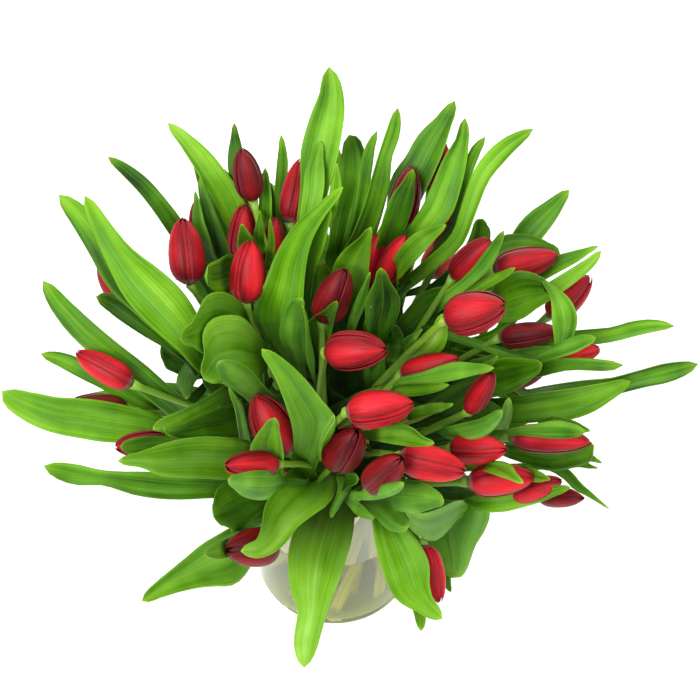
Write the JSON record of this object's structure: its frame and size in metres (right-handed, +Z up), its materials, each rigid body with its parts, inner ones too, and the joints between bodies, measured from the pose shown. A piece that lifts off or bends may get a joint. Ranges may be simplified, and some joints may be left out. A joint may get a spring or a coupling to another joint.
{
  "type": "tulips in a vase",
  "caption": "Bunch of closed red tulips with long green strap leaves, standing in water in a plain clear glass cylinder vase.",
  "frame": {"origin": "centre of the vase's flat foot, on the surface that it stands on", "axes": "+Z up along the vase's axis; the pictured side faces -Y, with +X to the viewer's right"},
  "size_m": [0.5544, 0.4979, 0.5276],
  "materials": {
    "vase_glass": "clear polished glass, faintly green, thick bottom",
    "vase_water": "still water, slightly tinted by the stems",
    "petal_red": "living petal, satin crimson with darker veins, paler green at the foot",
    "leaf_green": "living leaf and stem, waxy, fine parallel veins, paler blue-green underside"
  },
  "bodies": {
    "root": {"glass_vase": "vase_glass", "water": "vase_water", "stems_and_leaves_01": "leaf_green", "stems_and_leaves_02": "leaf_green", "stems_and_leaves_03": "leaf_green", "stems_and_leaves_04": "leaf_green", "stems_and_leaves_05": "leaf_green", "stems_and_leaves_06": "leaf_green", "stems_and_leaves_07": "leaf_green", "stems_and_leaves_08": "leaf_green", "stems_and_leaves_09": "leaf_green", "stems_and_leaves_10": "leaf_green", "stems_and_leaves_11": "leaf_green", "stems_and_leaves_12": "leaf_green", "stems_and_leaves_13": "leaf_green", "stems_and_leaves_14": "leaf_green", "stems_and_leaves_15": "leaf_green", "stems_and_leaves_16": "leaf_green", "tulip_01_flower": "petal_red", "tulip_02_flower": "petal_red", "tulip_03_flower": "petal_red", "tulip_04_flower": "petal_red", "tulip_05_flower": "petal_red", "tulip_06_flower": "petal_red", "tulip_07_flower": "petal_red", "tulip_08_flower": "petal_red", "tulip_09_flower": "petal_red", "tulip_10_flower": "petal_red", "tulip_11_flower": "petal_red", "tulip_12_flower": "petal_red", "tulip_13_flower": "petal_red", "tulip_14_flower": "petal_red", "tulip_15_flower": "petal_red", "tulip_16_flower": "petal_red", "tulip_17_flower": "petal_red", "tulip_18_flower": "petal_red", "tulip_19_flower": "petal_red", "tulip_20_flower": "petal_red", "tulip_21_flower": "petal_red", "tulip_22_flower": "petal_red", "tulip_23_flower": "petal_red", "tulip_24_flower": "petal_red", "tulip_25_flower": "petal_red", "tulip_26_flower": "petal_red", "tulip_27_flower": "petal_red", "tulip_28_flower": "petal_red", "tulip_29_flower": "petal_red", "tulip_30_flower": "petal_red", "tulip_31_flower": "petal_red", "tulip_32_flower": "petal_red", "tulip_33_flower": "petal_red", "tulip_34_flower": "petal_red", "tulip_35_flower": "petal_red", "tulip_36_flower": "petal_red", "tulip_37_flower": "petal_red", "tulip_38_flower": "petal_red", "tulip_39_flower": "petal_red", "tulip_40_flower": "petal_red", "tulip_41_flower": "petal_red", "tulip_42_flower": "petal_red"}
  },
  "joints": []
}
